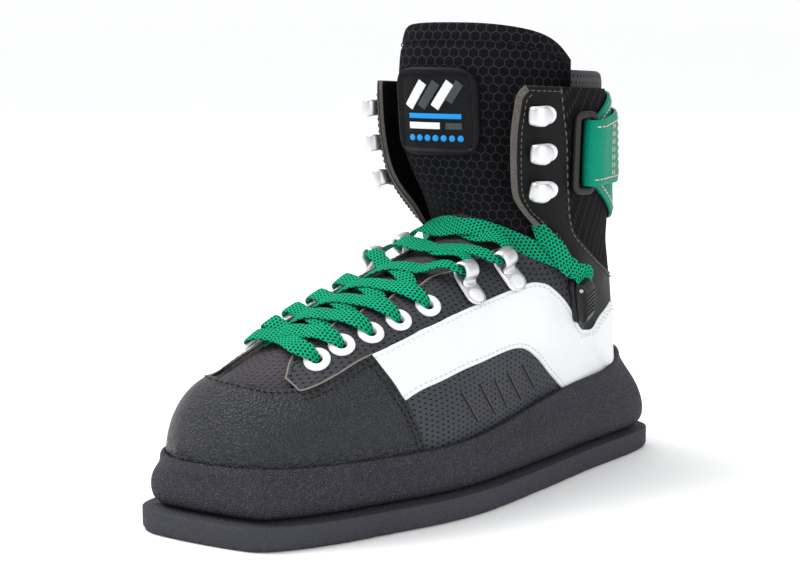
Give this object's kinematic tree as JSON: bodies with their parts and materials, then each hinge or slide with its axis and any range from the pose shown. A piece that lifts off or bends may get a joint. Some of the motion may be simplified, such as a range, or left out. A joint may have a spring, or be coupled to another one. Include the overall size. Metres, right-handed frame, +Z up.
{
  "type": "shooting shoe",
  "caption": "Left laced ankle boot for target shooting: flat plate sole, thick cupped midsole, tall padded tongue, ankle strap and lace locks.",
  "frame": {"origin": "centre of the bounding box in plan, on the floor under the sole", "axes": "+X towards the outside of the foot, -Y towards the toe, +Z up"},
  "size_m": [0.1222, 0.3, 0.236],
  "materials": {
    "strap_leather": "green grained leather",
    "silver_metal": "satin silver metal",
    "white_metal": "white painted metal",
    "padded_fabric": "black padded fabric",
    "footbed": "dark grey cloth over foam",
    "lace_cloth": "green braided flat lace",
    "black_plastic": "black moulded plastic",
    "midsole_foam": "pebbled black moulded rubber",
    "sole_rubber": "matt black rubber",
    "webbing": "pale grey webbing",
    "badge_rubber": "raised soft rubber badge",
    "upper_leather": "black grained leather with white panels"
  },
  "bodies": {
    "root": {"ankle_strap": "strap_leather", "cuff_hook_inside_1": "silver_metal", "cuff_hook_inside_2": "silver_metal", "cuff_hook_inside_3": "silver_metal", "cuff_hook_outside_1": "silver_metal", "cuff_hook_outside_2": "silver_metal", "cuff_hook_outside_3": "silver_metal", "eyelet_inside_1": "white_metal", "eyelet_inside_2": "white_metal", "eyelet_inside_3": "white_metal", "eyelet_inside_4": "white_metal", "eyelet_inside_5": "white_metal", "eyelet_outside_1": "white_metal", "eyelet_outside_2": "white_metal", "eyelet_outside_3": "white_metal", "eyelet_outside_4": "white_metal", "eyelet_outside_5": "white_metal", "inner_collar": "padded_fabric", "insole": "footbed", "lace": "lace_cloth", "lace_hook_inside_1": "silver_metal", "lace_hook_inside_2": "silver_metal", "lace_hook_outside_1": "silver_metal", "lace_hook_outside_2": "silver_metal", "lock_base_inside": "black_plastic", "lock_base_outside": "black_plastic", "lock_lever_inside": "black_plastic", "lock_lever_outside": "black_plastic", "midsole": "midsole_foam", "outsole": "sole_rubber", "pull_loop": "webbing", "strap_ring_inside": "black_plastic", "strap_ring_outside": "black_plastic", "tongue": "padded_fabric", "tongue_badge": "badge_rubber", "upper": "upper_leather"}
  },
  "joints": []
}
